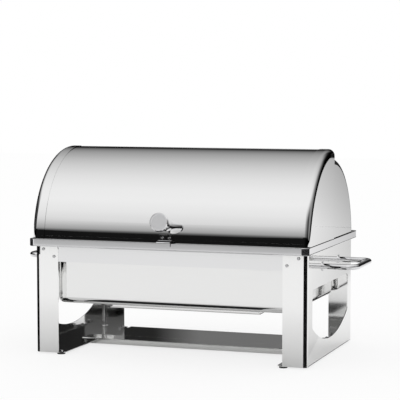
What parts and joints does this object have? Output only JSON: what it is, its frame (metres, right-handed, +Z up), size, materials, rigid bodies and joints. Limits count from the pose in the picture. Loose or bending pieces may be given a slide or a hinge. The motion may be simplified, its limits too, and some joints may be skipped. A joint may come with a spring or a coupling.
{
  "type": "chafing dish food warmer",
  "caption": "Roll-top chafing dish: stainless stand with side handles, water pan, lift-out food pan and a half-cylinder hood whose front half rolls back on end pivots.",
  "frame": {"origin": "on the floor, under the middle of the stand and of the hood's pivot axis", "axes": "+X to the right along the pivot axis, -Y to the front where the knob is, +Z up"},
  "size_m": [0.79, 0.4736, 0.46],
  "materials": {
    "mirror_steel": "mirror-polished stainless steel sheet",
    "frame_steel": "satin-polished stainless steel sheet",
    "pan_steel": "bright stainless steel, soft reflections",
    "satin_steel": "turned satin stainless steel",
    "fastener_steel": "plain stainless steel fasteners",
    "black_rubber": "matt black rubber",
    "bush_plastic": "natural white nylon"
  },
  "bodies": {
    "stand": {"bottom_shelf": "pan_steel", "centre_stretcher": "mirror_steel", "feet": "black_rubber", "flange_nuts": "fastener_steel", "flange_screws": "fastener_steel", "foot_nuts": "fastener_steel", "foot_screws": "fastener_steel", "front_apron": "mirror_steel", "handle_nuts": "fastener_steel", "handle_washers": "fastener_steel", "heat_diffuser": "pan_steel", "left_handle": "mirror_steel", "left_side_frame": "frame_steel", "pivot_bushes": "bush_plastic", "rear_apron": "mirror_steel", "rear_hood_left_cap": "mirror_steel", "rear_hood_nuts": "fastener_steel", "rear_hood_right_cap": "mirror_steel", "rear_hood_screws": "fastener_steel", "rear_hood_sheet": "mirror_steel", "right_handle": "mirror_steel", "right_side_frame": "frame_steel", "shelf_nuts": "fastener_steel", "shelf_screws": "fastener_steel", "top_frame": "mirror_steel", "water_pan": "pan_steel"},
    "cover": {"cover_sheet": "mirror_steel", "cover_right_cap": "mirror_steel", "cover_left_cap": "mirror_steel", "pivot_studs": "fastener_steel", "pivot_washers": "fastener_steel", "pivot_clips": "fastener_steel", "knob_body": "mirror_steel", "knob_face": "satin_steel", "knob_screw": "fastener_steel", "knob_washer": "fastener_steel", "stop_bracket": "mirror_steel", "stop_rivets": "fastener_steel", "stop_pad": "black_rubber"},
    "food_pan": {"food_pan": "pan_steel"}
  },
  "joints": [
    {"name": "cover_roll", "type": "hinge", "parent": "stand", "child": "cover", "pos_m": [0, 0, 0.255], "axis": [-1, 0, 0], "range_deg": [0, 84]},
    {"name": "food_pan_lift", "type": "slide", "parent": "stand", "child": "food_pan", "axis": [0, 0, 1], "range_m": [0, 0.06]}
  ]
}
